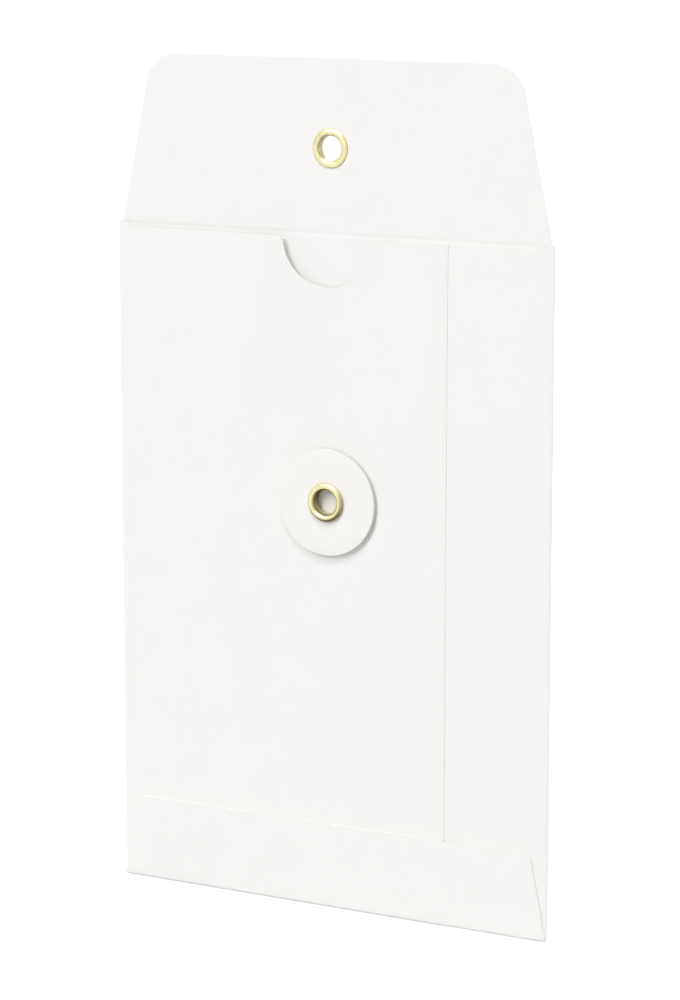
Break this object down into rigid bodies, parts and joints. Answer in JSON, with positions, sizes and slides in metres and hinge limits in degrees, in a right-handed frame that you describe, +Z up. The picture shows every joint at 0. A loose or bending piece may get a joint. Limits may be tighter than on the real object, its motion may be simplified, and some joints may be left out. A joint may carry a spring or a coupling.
{
  "type": "string tie envelope",
  "caption": "Portrait card pocket envelope with a fold-over closure flap, a thumb notch, a glued side seam and bottom flap, and eyeleted button discs for a tie string.",
  "frame": {"origin": "centre of the pocket's back face", "axes": "+X across the pocket, to the right as its front is seen; +Y out of its back; +Z up, towards the tip of the open flap"},
  "size_m": [0.114, 0.0055, 0.2017],
  "materials": {
    "white_card": "smooth uncoated card with a fine fibre grain",
    "button_board": "dense board, die-cut",
    "brass": "bright plated, rolled",
    "dried_glue": "dried white glue"
  },
  "bodies": {
    "pocket": {"back_panel": "white_card", "left_panel": "white_card", "right_panel": "white_card", "left_side_fold": "white_card", "right_side_fold": "white_card", "bottom_fold": "white_card", "bottom_flap": "white_card", "side_seam_glue": "dried_glue", "bottom_flap_glue": "dried_glue", "flap_crease": "white_card", "body_eyelet": "brass"},
    "flap": {"closure_flap": "white_card", "flap_eyelet": "brass"},
    "body_button": {"body_disc": "button_board"},
    "flap_button": {"flap_disc": "button_board"}
  },
  "joints": [
    {"name": "flap_fold", "type": "hinge", "parent": "pocket", "child": "flap", "pos_m": [0, -0.00153, 0.08316], "axis": [1, 0, 0], "range_deg": [-30, 180], "deforming": ["flap_crease"]},
    {"name": "body_disc_spin", "type": "hinge", "parent": "pocket", "child": "body_button", "pos_m": [0, -0.0019, 0.018], "axis": [0, -1, 0], "continuous": true},
    {"name": "flap_disc_spin", "type": "hinge", "parent": "flap", "child": "flap_button", "pos_m": [0, 0.00055, 0.1003], "axis": [0, 1, 0], "continuous": true}
  ]
}
